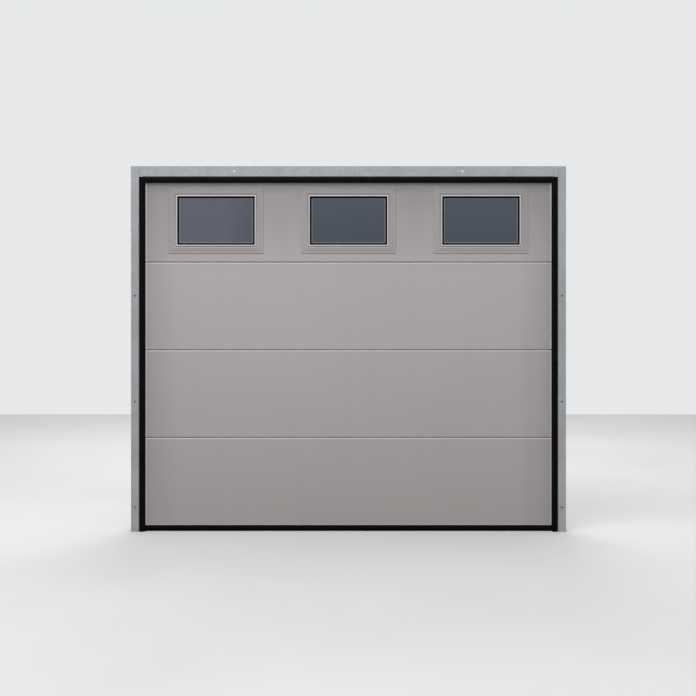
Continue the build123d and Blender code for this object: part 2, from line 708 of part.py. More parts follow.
main()
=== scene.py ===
"""Look of a sectional garage door, dressed over its solid model.

The powder-coated leaf, its windows, its seals and its zinc-coated tracks and fittings. Metres, in
the door's own frame: X across the door, Y from the street into the garage, Z up.
"""

import math

import bmesh
import bpy
from mathutils import Matrix, Vector


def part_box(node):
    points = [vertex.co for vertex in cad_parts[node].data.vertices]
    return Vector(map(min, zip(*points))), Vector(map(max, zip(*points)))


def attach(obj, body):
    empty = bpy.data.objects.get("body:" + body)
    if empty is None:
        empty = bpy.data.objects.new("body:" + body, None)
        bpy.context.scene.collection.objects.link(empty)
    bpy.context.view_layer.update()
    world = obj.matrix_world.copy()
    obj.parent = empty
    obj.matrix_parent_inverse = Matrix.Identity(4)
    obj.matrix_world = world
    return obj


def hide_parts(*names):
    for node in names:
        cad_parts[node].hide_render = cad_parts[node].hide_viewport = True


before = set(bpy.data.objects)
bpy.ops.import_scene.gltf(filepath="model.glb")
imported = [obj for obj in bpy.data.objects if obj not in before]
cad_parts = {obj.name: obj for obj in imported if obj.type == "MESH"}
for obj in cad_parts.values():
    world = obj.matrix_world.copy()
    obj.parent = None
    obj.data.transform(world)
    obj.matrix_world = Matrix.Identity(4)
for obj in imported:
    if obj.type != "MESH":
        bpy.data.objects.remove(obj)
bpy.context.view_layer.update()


def corners(node):
    """Lowest and highest corner of a solid node."""
    return [Vector(corner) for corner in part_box(node)]


# Sizes read from the solid model

floor_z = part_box("left_post")[0][2]
leaf_low, leaf_high = corners("bottom_section")
leaf_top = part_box("window_section")[1][2]
pane_low, pane_high = corners("centre_window_pane")
pane_centre = (pane_low + pane_high) / 2
window_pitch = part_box("right_window_pane")[1][0] - pane_high.x

# The gasket stands a little inside the pane's edge, and its band hides the edge of the glass
PANE_MARGIN = 0.006
GASKET_BAND = 0.0105
gasket_half_width = pane_high.x - pane_centre.x - PANE_MARGIN
gasket_half_height = pane_high.z - pane_centre.z - PANE_MARGIN
sight_half_width = gasket_half_width - GASKET_BAND
sight_half_height = gasket_half_height - GASKET_BAND

# Sizes shared by the pieces, in metres
MM = 0.001
WINDOWS = ("left", "centre", "right")
ROLLER_HALF_WIDTH = 0.006
BEND_RADIUS = 0.26
PULLEY_REACH = 0.024
DRUM_REACH = 0.055
SPRING_LEAD = 0.0072
CENTRE_CONES_WITHIN = 0.3

# Radians of twist in a metre of rope
ROPE_TWIST = 170.0

# Millimetres from the face a hinge is screwed to
HINGE_PIN_HEIGHT = 5.4
TUBE_DEPTH = 12.8

# Camera, as the photograph was taken: level, straight on, a little below the windows
CAMERA_HEIGHT = 1.42
CAMERA_DISTANCE = 6.8
PICTURE_WIDTH = 4.286
PICTURE_CENTRE_HEIGHT = 1.1277
PICTURE_CENTRE_X = -0.003


def make_camera():
    data = bpy.data.cameras.new("street_camera")
    data.sensor_width = 36.0
    data.lens = data.sensor_width * CAMERA_DISTANCE / PICTURE_WIDTH
    data.shift_y = (PICTURE_CENTRE_HEIGHT - CAMERA_HEIGHT) / PICTURE_WIDTH
    camera = in_scene("street_camera", data)
    camera.location = (PICTURE_CENTRE_X, leaf_low.y - CAMERA_DISTANCE, floor_z + CAMERA_HEIGHT)
    camera.rotation_euler = (math.radians(90), 0, 0)
    bpy.context.scene.camera = camera


# Node trees


def srgb(red, green, blue):
    """A screen colour (0 to 255) in linear light."""
    def linear(level):
        level /= 255
        return level / 12.92 if level <= 0.04045 else ((level + 0.055) / 1.055) ** 2.4
    return linear(red), linear(green), linear(blue), 1.0


class Tree:
    """A node tree, with short ways to add nodes and to set or join their sockets."""

    def __init__(self, tree):
        self.tree = tree

    def add(self, kind, settings=None, **inputs):
        node = self.tree.nodes.new(kind)
        for name, value in (settings or {}).items():
            setattr(node, name, value)
        for socket, value in inputs.items():
            self.give(node, socket.replace("_", " "), value)
        return node

    def give(self, node, socket, value):
        if isinstance(value, bpy.types.NodeSocket):
            self.tree.links.new(value, node.inputs[socket])
        else:
            node.inputs[socket].default_value = value

    def maths(self, operation, first, second=0.0):
        node = self.add("ShaderNodeMath", {"operation": operation})
        self.give(node, 0, first)
        self.give(node, 1, second)
        return node.outputs["Value"]

    def spread(self, value, low, high, from_low=0.0, from_high=1.0):
        """Low to high, as the value goes from one end of a range to the other."""
        node = self.add(
            "ShaderNodeMapRange", Value=value, From_Min=from_low, From_Max=from_high, To_Min=low,
            To_Max=high,
        )
        return node.outputs["Result"]

    def seen_directly(self):
        """1 for what the camera sees, also in metal and through glass, and 0 for light on surfaces."""
        rays = self.add("ShaderNodeLightPath").outputs
        seen = self.maths("MAXIMUM", rays["Is Camera Ray"], rays["Is Glossy Ray"])
        return self.maths("MAXIMUM", seen, rays["Is Transmission Ray"])


class Shader(Tree):
    """A material's node tree. Its colours are levels of 0 to 255."""

    def __init__(self, name, **values):
        self.material = bpy.data.materials.new(name)
        self.material.use_nodes = True
        super().__init__(self.material.node_tree)
        self.surface = self.tree.nodes["Principled BSDF"]
        self.place = self.add("ShaderNodeTexCoord").outputs["Object"]
        for socket, value in values.items():
            self.give(self.surface, socket.replace("_", " "), value)

    def stretched(self, scale):
        return self.add("ShaderNodeMapping", Vector=self.place, Scale=scale).outputs["Vector"]

    def axis(self, name):
        return self.add("ShaderNodeSeparateXYZ", Vector=self.place).outputs[name]

    def noise(self, size, detail=3.0, rough=0.5, place=None):
        """Noise with features about one size (metres) across."""
        node = self.add(
            "ShaderNodeTexNoise", Vector=place or self.place, Scale=1.0 / size, Detail=detail,
            Roughness=rough,
        )
        return node.outputs["Fac"]

    def cells(self, size, feature="F1"):
        """Outputs of a pattern of cells about one size across."""
        kind = "ShaderNodeTexVoronoi"
        return self.add(kind, {"feature": feature}, Vector=self.place, Scale=1.0 / size).outputs

    def upward_dust_and_highlight(self, amount, full):
        """How much a face looks upwards: none on an upright one, all where it faces upwards. Used for dust
        lying on top and for painted highlight on upward faces.
        """
        normal = self.add("ShaderNodeNewGeometry").outputs["Normal"]
        upward = self.add("ShaderNodeSeparateXYZ", Vector=normal).outputs["Z"]
        return self.spread(upward, 0.0, amount, 0.3, full)

    def tones(self, value, first, second, low=0.3, high=0.7):
        """From one colour to another as the value goes from low to high."""
        node = self.add("ShaderNodeValToRGB", Fac=value)
        for element, position, colour in zip(node.color_ramp.elements, (low, high), (first, second)):
            element.position = position
            element.color = srgb(*colour)
        return node.outputs["Color"]

    def mix(self, factor, first, second):
        node = self.add("ShaderNodeMix", {"data_type": "RGBA"})
        for name, value in (("Factor", factor), ("A", first), ("B", second)):
            socket = next(s for s in node.inputs if s.name == name and s.enabled)
            if isinstance(value, bpy.types.NodeSocket):
                self.tree.links.new(value, socket)
            else:
                socket.default_value = srgb(*value)
        return next(s for s in node.outputs if s.enabled)

    def bump(self, height, depth, below=None):
        node = self.add("ShaderNodeBump", Height=height, Strength=1.0, Distance=depth)
        if below is not None:
            self.give(node, "Normal", below)
        return node.outputs["Normal"]

    def finish(self, colour=None, rough=None, normal=None):
        for socket, value in (("Base Color", colour), ("Roughness", rough), ("Normal", normal)):
            if value is not None:
                self.give(self.surface, socket, value)
        return self.material


def edge_wear(shader, width):
    """Where edges are rubbed: 1 on a convex edge, broken up by noise."""
    bevel = shader.add("ShaderNodeBevel", Radius=width)
    geometry = shader.add("ShaderNodeNewGeometry")
    dot = shader.add("ShaderNodeVectorMath", {"operation": "DOT_PRODUCT"})
    shader.give(dot, 0, bevel.outputs["Normal"])
    shader.give(dot, 1, geometry.outputs["True Normal"])
    edge = shader.spread(dot.outputs["Value"], 1.0, 0.0, 0.85, 1.0)
    return shader.maths("MULTIPLY", edge, shader.spread(shader.noise(0.03, 4), 0.0, 1.0, 0.45, 0.6))


def dust_and_painted_shade(shader, colour):
    """Ground dust on the leaf and its window frames, with painted shade at the sides and over the top, and
    a painted shadow under the head.
    """
    up = shader.axis("Z")
    beside = shader.maths("ABSOLUTE", shader.axis("X"))
    cloud = shader.spread(shader.noise(0.22, 5), 0.45, 0.85)
    for where, tone in (
        (shader.spread(up, 1.0, 0.0, floor_z, floor_z + 1.1), (171, 162, 161)),
        # Painted shade along the sides of the leaf
        (shader.spread(beside, 0.0, 1.0, 1.04, 1.26), (156, 152, 150)),
        # Painted shade over the upper part of the leaf
        (shader.spread(up, 0.0, 1.0, leaf_top - 0.6, leaf_top - 0.15), (141, 137, 137)),
    ):
        colour = shader.mix(shader.maths("MULTIPLY", where, cloud), colour, tone)
    # Painted shadow under the head, darkest just below it
    head_shadow = shader.spread(up, 0.0, 0.55, leaf_top - 0.125, leaf_top - 0.06)
    return shader.mix(head_shadow, colour, (112, 110, 107))


def leaf_paint():
    """Warm light grey powder coat on finely embossed steel, pale inside the garage."""
    shader = Shader("leaf_powder_coat", Metallic=0.0, Roughness=0.46)
    colour = dust_and_painted_shade(shader, shader.tones(shader.noise(0.9, 2), (182, 176, 176), (185, 179, 179)))

    # Painted highlight beside the side seals and just above the floor seal, and on the upward bevels of
    # the joints
    seal_edge_highlight = shader.spread(shader.maths("ABSOLUTE", shader.axis("X")), 0.0, 0.9, 1.2415, 1.2425)
    above_seal = shader.spread(shader.axis("Z"), 0.45, 0.0, leaf_low.z + 0.005, leaf_low.z + 0.006)
    colour = shader.mix(shader.maths("MAXIMUM", seal_edge_highlight, above_seal), colour, (210, 205, 201))
    colour = shader.mix(shader.upward_dust_and_highlight(0.62, 0.6), colour, (210, 205, 202))

    streak = shader.noise(0.05, 4, place=shader.stretched((1.0, 1.0, 0.04)))
    colour = shader.mix(shader.spread(streak, 0.0, 0.05, 0.52, 0.75), colour, (142, 136, 132))
    inside = shader.spread(shader.axis("Y"), 0.0, 1.0, leaf_high.y - 0.002, leaf_high.y - 0.001)
    inner_coat = shader.tones(shader.noise(0.5, 4), (196, 196, 192), (206, 206, 202))
    colour = shader.mix(inside, colour, inner_coat)

    pebbles = shader.cells(0.0042, "SMOOTH_F1")["Distance"]
    # Painted shade in the hollows of the emboss
    colour = shader.mix(shader.spread(pebbles, 0.06, 0.0, 0.1, 0.5), colour, (134, 129, 126))
    relief = shader.bump(pebbles, 0.00028)
    relief = shader.bump(shader.noise(0.0035, 3, 0.6), 0.00022, relief)
    relief = shader.bump(shader.noise(0.35, 1), 0.0012, relief)
    return shader.finish(colour, shader.spread(shader.noise(0.012, 4), 0.4, 0.54), relief)


def frame_paint():
    """The leaf's colour on the smooth moulded frames of the windows."""
    shader = Shader("window_frame_paint", Roughness=0.42)
    colour = dust_and_painted_shade(shader, shader.tones(shader.noise(0.3, 4), (178, 171, 171), (183, 176, 176)))
    relief = shader.bump(shader.noise(0.004, 2), 0.00008)
    return shader.finish(colour, shader.spread(shader.noise(0.02, 4), 0.36, 0.48), relief)


def smooth_paint(name, light, dark):
    """Smooth moulded plastic or paint, with a faint orange peel."""
    shader = Shader(name, Roughness=0.38)
    colour = shader.tones(shader.noise(0.25, 4), dark, light)
    relief = shader.bump(shader.noise(0.004, 2), 0.00008)
    return shader.finish(colour, shader.spread(shader.noise(0.02, 4), 0.32, 0.46), relief)


def rubber(name, tone, rough=0.7, dusty=0.4, shine=0.06):
    """Black rubber or soft plastic, a little dusty, with fine drawn lines."""
    shader = Shader(name, Roughness=rough, Specular_IOR_Level=shine)
    dust = shader.spread(shader.noise(0.06, 5), 0.0, dusty, 0.45, 0.8)
    colour = shader.mix(dust, tone, (tone[0] + 12, tone[1] + 10, tone[2] + 9))
    colour = shader.mix(shader.upward_dust_and_highlight(2 * dusty, 0.7), colour, (44, 42, 40))
    relief = shader.bump(shader.noise(0.004, 3), 0.00015)
    rough = shader.spread(shader.noise(0.015, 4), rough - 0.1, rough + 0.12)
    return shader.finish(colour, rough, relief)


def zinc(name, light, dark, spangle):
    """Hot-dip zinc with soft spangles, dulled in patches and rubbed bright along its edges."""
    shader = Shader(name, Metallic=0.75, Roughness=0.5)
    grey = shader.add("ShaderNodeRGBToBW", Color=shader.cells(spangle)["Color"]).outputs["Val"]
    patches = shader.spread(shader.noise(0.18, 5), 0.0, 0.7, 0.4, 0.75)
    colour = shader.mix(patches, shader.tones(grey, dark, light, 0.2, 0.8), (148, 149, 148))
    colour = shader.mix(edge_wear(shader, 0.0012), colour, (196, 198, 199))
    rough = shader.maths("ADD", shader.spread(grey, 0.4, 0.5), shader.spread(patches, 0.0, 0.18))
    return shader.finish(colour, rough, shader.bump(grey, 0.00003))


def cast_alloy():
    shader = Shader("cast_alloy", Metallic=0.85, Roughness=0.5)
    grain = shader.noise(0.0016, 4, 0.7)
    colour = shader.tones(shader.noise(0.02, 5), (140, 142, 145), (172, 174, 176))
    colour = shader.mix(edge_wear(shader, 0.001), colour, (206, 207, 208))
    return shader.finish(colour, shader.spread(grain, 0.42, 0.62), shader.bump(grain, 0.0002))


def spring_steel():
    """Dark oiled steel with a little rust."""
    shader = Shader("oiled_spring_steel", Metallic=0.7, Roughness=0.36)
    colour = shader.tones(shader.noise(0.03, 5), (44, 44, 46), (70, 68, 66), 0.35)
    rust = shader.spread(shader.noise(0.012, 6), 0.0, 0.5, 0.62, 0.75)
    colour = shader.mix(rust, colour, (98, 72, 54))
    relief = shader.bump(shader.noise(0.002, 3), 0.0001)
    return shader.finish(colour, shader.spread(rust, 0.3, 0.6), relief)


def drawn_metal(name, light, dark, along):
    """Bare drawn metal with fine lines along its length."""
    shader = Shader(name, Metallic=0.9, Roughness=0.3)
    scale = [0.02 if axis == along else 1.0 for axis in "XYZ"]
    lines = shader.noise(0.0015, 3, place=shader.stretched(scale))
    dulled = shader.spread(shader.noise(0.08, 4), 0.0, 0.12)
    rough = shader.maths("ADD", shader.spread(lines, 0.2, 0.34), dulled)
    return shader.finish(shader.tones(lines, dark, light), rough, shader.bump(lines, 0.00004))


def nylon():
    """White plastic, greyed by grease and dust."""
    shader = Shader("white_nylon", Roughness=0.42, Subsurface_Weight=0.08)
    grime = shader.spread(shader.noise(0.012, 5), 0.0, 0.7, 0.45, 0.7)
    colour = shader.mix(grime, (226, 223, 212), (170, 164, 150))
    relief = shader.bump(shader.noise(0.003, 3), 0.00008)
    return shader.finish(colour, shader.spread(grime, 0.36, 0.55), relief)


def tinted_glass():
    """Smoke-blue acrylic over a dark room, with the pale spacer bar showing along its edges."""
    shader = Shader("tinted_pane", Roughness=0.06, IOR=1.49)
    across, up = shader.axis("X"), shader.axis("Z")
    cloud = shader.spread(shader.noise(0.5, 2), -0.3, 0.3)
    level = shader.maths("ADD", shader.spread(up, 0.0, 1.0, -0.46, -0.14), cloud)
    colour = shader.tones(level, (61, 70, 82), (69, 79, 91), 0.0, 1.0)
    colour = shader.mix(shader.spread(across, 1.0, 0.0, -0.75, -0.5), colour, (90, 93, 105))

    # The spacer bar lies inside the edges of the pane, whose middle is a whole pitch from the next
    centred = shader.maths("WRAP", across, window_pitch / 2)
    centred.node.inputs[2].default_value = -window_pitch / 2
    aside = shader.maths("ABSOLUTE", centred)
    beside = shader.spread(aside, 0.0, 0.55, sight_half_width - 0.0065, sight_half_width - 0.005)
    sill, head = pane_centre.z - sight_half_height, pane_centre.z + sight_half_height
    lower = shader.spread(up, 0.6, 0.0, sill + 0.005, sill + 0.0065)
    upper = shader.spread(up, 0.0, 0.25, head - 0.0065, head - 0.005)
    spacer = shader.maths("MAXIMUM", beside, shader.maths("MAXIMUM", lower, upper))
    colour = shader.mix(spacer, colour, (138, 143, 147))

    smear = shader.noise(0.04, 5, place=shader.stretched((1.0, 1.0, 0.5)))
    relief = shader.bump(shader.noise(0.3, 1), 0.0012)
    return shader.finish(colour, shader.spread(smear, 0.04, 0.14), relief)


def floor_material():
    """Pale to look at, but throwing little light up at the door."""
    shader = Shader("pale_floor", Roughness=0.8)
    colour = shader.tones(shader.noise(1.2, 3), (206, 205, 203), (212, 211, 209))
    return shader.finish(shader.mix(shader.seen_directly(), (120, 118, 116), colour))


# Materials on the solid model


def make_finishes():
    return {
        "leaf": leaf_paint(),
        "frame": frame_paint(),
        "bead": smooth_paint("bead_plastic", (210, 206, 204), (202, 198, 196)),
        "inner": smooth_paint("inner_frame_plastic", (214, 213, 210), (200, 199, 196)),
        "glass": tinted_glass(),
        "gasket": rubber("gasket_rubber", (2, 2, 3), 0.8, 0.1, 0.02),
        "edge_seal": rubber("edge_seal_plastic", (7, 5, 5), 0.62),
        "floor_seal": rubber("floor_seal_rubber", (5, 3, 4), 0.72),
        "sheet": zinc("zinc_coated_sheet", (172, 175, 177), (161, 164, 167), 0.009),
        "plated": zinc("plated_fittings", (178, 179, 174), (160, 161, 158), 0.004),
        "cap": smooth_paint("end_cap_paint", (206, 204, 201), (192, 190, 187)),
        "cast": cast_alloy(),
        "spring": spring_steel(),
        "shaft": drawn_metal("plated_shaft", (180, 182, 184), (150, 153, 156), "X"),
        "aluminium": drawn_metal("drawn_aluminium", (200, 202, 204), (172, 175, 178), "X"),
        "rope": drawn_metal("steel_rope", (150, 152, 154), (96, 98, 100), "Z"),
        "nylon": nylon(),
    }


DRESSED = {
    "leaf": ("bottom_section", "second_section", "third_section", "window_section"),
    "glass": tuple(name + "_window_pane" for name in WINDOWS),
    "edge_seal": ("left_side_seal", "right_side_seal", "head_seal"),
    "floor_seal": ("floor_seal",),
    "sheet": (
        "left_post", "right_post", "head_rail", "vertical_tracks", "track_bends", "ceiling_tracks",
        "upper_tracks", "corner_plates", "shaft_brackets", "centre_bracket", "rear_hangers",
        "rear_tie_bar",
    ),
    "cap": ("section_end_caps",),
    "shaft": ("torsion_shaft",),
    "aluminium": ("bottom_rail",),
}


def dress_nodes(finishes):
    for finish, nodes in DRESSED.items():
        for node in nodes:
            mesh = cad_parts[node].data
            mesh.materials.clear()
            mesh.materials.append(finishes[finish])


# Building the pieces


def in_scene(name, data):
    piece = bpy.data.objects.new(name, data)
    bpy.context.scene.collection.objects.link(piece)
    return piece


def shaded(mesh, angle=35):
    """Smooth faces, with an edge left sharp where it turns more than the angle."""
    mesh.polygons.foreach_set("use_smooth", [True] * len(mesh.polygons))
    mesh.set_sharp_from_angle(angle=math.radians(angle))
    return mesh


def closed(name, build):
    """Merges what touches, turns the faces outwards and makes the object."""
    bmesh.ops.remove_doubles(build, verts=build.verts, dist=1e-6)
    bmesh.ops.recalc_face_normals(build, faces=build.faces)
    mesh = bpy.data.meshes.new(name)
    build.to_mesh(mesh)
    build.free()
    return in_scene(name, shaded(mesh))


def keep(piece, slot, *replaced):
    """Sends a finished piece out with the door, in place of solid nodes. The slot is not used."""
    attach(piece, "root")
    if replaced:
        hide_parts(*replaced)


def finished(name, build, finish, slot, *replaced):
    piece = closed(name, build)
    piece.data.materials.append(finish)
    keep(piece, slot, *replaced)


def block(build, low, high, chamfer):
    """A block between two corners, with its edges taken off. Millimetres."""
    made = bmesh.ops.create_cube(build, size=1.0)
    low, high = Vector(low) * MM, Vector(high) * MM
    for vertex in made["verts"]:
        vertex.co = [(low[i] + high[i]) / 2 + vertex.co[i] * (high[i] - low[i]) for i in range(3)]
    edges = list({edge for vertex in made["verts"] for edge in vertex.link_edges})
    bmesh.ops.bevel(build, geom=edges, offset=chamfer * MM, segments=2, affect="EDGES", profile=0.6)


def disc(build, radius, low, high, sides, top=None):
    """A round plate or pin along Z, narrower at the top where one is given. Millimetres."""
    made = bmesh.ops.create_cone(
        build, cap_ends=True, segments=sides, radius1=radius * MM,
        radius2=(radius if top is None else top) * MM, depth=(high - low) * MM,
    )
    bmesh.ops.translate(build, verts=made["verts"], vec=(0, 0, (low + high) / 2 * MM))


def about_z(build, profile, steps=40, place=Matrix()):
    """Turns a closed outline of (along the axis, radius) points about Z. Millimetres."""
    rings = []
    for step in range(steps):
        angle = math.tau * step / steps
        points = [Vector((r * math.cos(angle), r * math.sin(angle), a)) * MM for a, r in profile]
        rings.append([build.verts.new(place @ point) for point in points])
    join_rings(build, rings)


def about_x(build, profile, at, side=1, steps=40):
    """Turns an outline about an axis along X through a point, outwards on one side of the door."""
    about_z(build, [(side * along, radius) for along, radius in profile], steps, along_x(at))


def along_x(at):
    """Turns a shape that stands on its Z axis so that it points along X from a point."""
    return Matrix.Translation(at) @ Matrix.Rotation(math.radians(90), 4, "Y")


def join_rings(build, rings):
    """Faces between rings of points, each joined to the next and the last one to the first."""
    for ring, following in zip(rings, rings[1:] + rings[:1]):
        for point in range(len(ring)):
            after = (point + 1) % len(ring)
            build.faces.new((ring[point], ring[after], following[after], following[point]))


def slab(build, outline, x0, x1):
    """A straight length across the door between two X, from an outline of (y, z) points."""
    rings = [[build.verts.new((x, y, z)) for y, z in outline] for x in (x0, x1)]
    build.faces.new(rings[0])
    build.faces.new(list(reversed(rings[1])))
    for point in range(len(outline)):
        after = (point + 1) % len(outline)
        build.faces.new((rings[0][point], rings[0][after], rings[1][after], rings[1][point]))


def newest(build, work, *values):
    """Does some work on a build, and returns the points that it added."""
    made = len(build.verts)
    work(build, *values)
    build.verts.ensure_lookup_table()
    return build.verts[made:]


# Places on the solid model


def centre_of(node):
    low, high = corners(node)
    return (low + high) / 2


def islands(node):
    """(lowest, highest corner) of each loose part of a solid node, from left to right and upwards."""
    build = bmesh.new()
    build.from_mesh(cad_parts[node].data)
    bmesh.ops.remove_doubles(build, verts=build.verts, dist=1e-5)
    left = set(build.verts)
    found = []
    while left:
        stack = [left.pop()]
        part = []
        while stack:
            vertex = stack.pop()
            part.append(vertex.co.copy())
            for edge in vertex.link_edges:
                other = edge.other_vert(vertex)
                if other in left:
                    left.discard(other)
                    stack.append(other)
        low = Vector([min(co[i] for co in part) for i in range(3)])
        high = Vector([max(co[i] for co in part) for i in range(3)])
        found.append((low, high))
    build.free()
    return sorted(found, key=lambda box: (round(box[0].x, 3), round(box[0].z, 3)))


def sided(node):
    """(side of the door, distance out to its inner edge, corners) of each loose part of a solid node."""
    return [
        (1 if low.x > 0 else -1, min(abs(low.x), abs(high.x)), low, high) for low, high in islands(node)
    ]


# Geometry trees


class Pattern(Tree):
    """A geometry tree with named inputs, which ends in Realize Instances and Set Material."""

    def __init__(self, name, **inputs):
        super().__init__(bpy.data.node_groups.new(name, "GeometryNodeTree"))
        sockets = self.tree.interface
        sockets.new_socket("Geometry", in_out="INPUT", socket_type="NodeSocketGeometry")
        for label, kind in {**inputs, "Finish": "Material"}.items():
            sockets.new_socket(label, in_out="INPUT", socket_type="NodeSocket" + kind)
        sockets.new_socket("Geometry", in_out="OUTPUT", socket_type="NodeSocketGeometry")
        self.inputs = self.add("NodeGroupInput").outputs

    def swept(self, curve, profile):
        """A profile carried along a curve, with closed ends."""
        node = self.add("GeometryNodeCurveToMesh", Curve=curve, Profile_Curve=profile, Fill_Caps=True)
        return node.outputs["Mesh"]

    def end(self, geometry):
        real = self.add("GeometryNodeRealizeInstances", Geometry=geometry).outputs["Geometry"]
        painted = self.add("GeometryNodeSetMaterial", Geometry=real, Material=self.inputs["Finish"])
        self.add("NodeGroupOutput", Geometry=painted.outputs["Geometry"])
        return self

    def made(self, name, source, **values):
        """Runs the tree on a source mesh and returns the result as a plain piece."""
        modifier = source.modifiers.new(name, "NODES")
        modifier.node_group = self.tree
        for item in self.tree.interface.items_tree:
            if item.in_out == "INPUT" and item.name in values:
                modifier[item.identifier] = values[item.name]
        graph = bpy.context.evaluated_depsgraph_get()
        mesh = bpy.data.meshes.new_from_object(source.evaluated_get(graph), depsgraph=graph)
        mesh.name = name
        bpy.data.objects.remove(source)
        return in_scene(name, shaded(mesh))


def fitting_pattern():
    """A fitting on every point, its Z axis along the point's facing, turned by chance about it."""
    pattern = Pattern("fittings_on_points", Fitting="Object", Seed="Int", Turn="Float")
    fitting = pattern.add("GeometryNodeObjectInfo", Object=pattern.inputs["Fitting"])
    named = pattern.add("GeometryNodeInputNamedAttribute", {"data_type": "FLOAT_VECTOR"}, Name="facing")
    facing = named.outputs["Attribute"]
    aim = pattern.add("FunctionNodeAlignRotationToVector", {"axis": "Z"}, Vector=facing)
    chance = pattern.add("FunctionNodeRandomValue", {"data_type": "FLOAT"}, Seed=pattern.inputs["Seed"])
    share = next(socket for socket in chance.outputs if socket.enabled)
    angle = pattern.maths("MULTIPLY", share, pattern.inputs["Turn"])
    spin = pattern.add("FunctionNodeAxisAngleToRotation", Angle=angle).outputs["Rotation"]
    turned = pattern.add(
        "FunctionNodeRotateRotation", {"rotation_space": "LOCAL"},
        Rotation=aim.outputs["Rotation"], Rotate_By=spin,
    )
    placed = pattern.add(
        "GeometryNodeInstanceOnPoints", Points=pattern.inputs["Geometry"],
        Instance=fitting.outputs["Geometry"], Rotation=turned.outputs["Rotation"],
    )
    return pattern.end(placed.outputs["Instances"])


def coil_pattern():
    """Round wire wound into a close coil along X, from a place."""
    pattern = Pattern(
        "wound_spring", Turns="Float", Radius="Float", Wire="Float", Length="Float", Place="Vector",
        Reverse="Bool",
    )
    radius = pattern.inputs["Radius"]
    spiral = pattern.add(
        "GeometryNodeCurveSpiral", Resolution=20, Start_Radius=radius, End_Radius=radius,
        Rotations=pattern.inputs["Turns"], Height=pattern.inputs["Length"],
        Reverse=pattern.inputs["Reverse"],
    )
    laid = pattern.add(
        "GeometryNodeTransform", Geometry=spiral.outputs["Curve"], Rotation=(0, math.radians(90), 0),
        Translation=pattern.inputs["Place"],
    )
    ring = pattern.add("GeometryNodeCurvePrimitiveCircle", Resolution=8, Radius=pattern.inputs["Wire"])
    return pattern.end(pattern.swept(laid.outputs["Geometry"], ring.outputs["Curve"]))


def rope_pattern():
    """Strands laid round each other along a path."""
    pattern = Pattern("laid_rope", Radius="Float", Step="Float", Lay="Float")
    route = pattern.add("GeometryNodeMeshToCurve", Mesh=pattern.inputs["Geometry"])
    path = pattern.add(
        "GeometryNodeResampleCurve", {"mode": "LENGTH"}, Curve=route.outputs["Curve"],
        Length=pattern.inputs["Step"],
    )
    along = pattern.add("GeometryNodeSplineParameter").outputs["Length"]
    twist = pattern.maths("MULTIPLY", along, pattern.inputs["Lay"])
    tilted = pattern.add("GeometryNodeSetCurveTilt", Curve=path.outputs["Curve"], Tilt=twist)
    star = pattern.add(
        "GeometryNodeCurveStar", Points=6, Outer_Radius=pattern.inputs["Radius"],
        Inner_Radius=pattern.maths("MULTIPLY", pattern.inputs["Radius"], 0.74),
    )
    return pattern.end(pattern.swept(tilted.outputs["Curve"], star.outputs["Curve"]))


def scatter(name, pattern, build, places, finish, slot, *replaced, seed=0, turn=math.tau):
    """One piece with a fitting at every (point, facing) place."""
    mesh = bpy.data.meshes.new(name)
    mesh.from_pydata([tuple(point) for point, _ in places], [], [])
    facing = mesh.attributes.new("facing", "FLOAT_VECTOR", "POINT")
    facing.data.foreach_set("vector", [value for _, direction in places for value in direction])
    fitting = closed("fitting", build)
    source = in_scene("places", mesh)
    piece = pattern.made(name, source, Fitting=fitting, Finish=finish, Seed=seed, Turn=turn)
    bpy.data.objects.remove(fitting)
    keep(piece, slot, *replaced)


# Rings round the windows


def mitred_ring(build, centre, outline):
    """A closed band round a window, from an outline of (millimetres outside the gasket, Y) points."""
    rings = []
    for outside, y in outline:
        half_w = gasket_half_width + outside * MM
        half_h = gasket_half_height + outside * MM
        ends = ((-half_w, -half_h), (half_w, -half_h), (half_w, half_h), (-half_w, half_h))
        rings.append([build.verts.new((centre.x + x, y * MM, centre.z + z)) for x, z in ends])
    join_rings(build, rings)


def rounded(outline, radius, steps=4):
    """The outline with its corners rounded, closed."""
    result = []
    for before, corner, after in zip(outline[-1:] + outline[:-1], outline, outline[1:] + outline[:1]):
        corner = Vector(corner)
        into, away = Vector(before) - corner, Vector(after) - corner
        reach = min(radius, into.length * 0.45, away.length * 0.45)
        start = corner + into.normalized() * reach
        end = corner + away.normalized() * reach
        for step in range(steps + 1):
            t = step / steps
            result.append(tuple((1 - t) ** 2 * start + 2 * t * (1 - t) * corner + t * t * end))
    return result


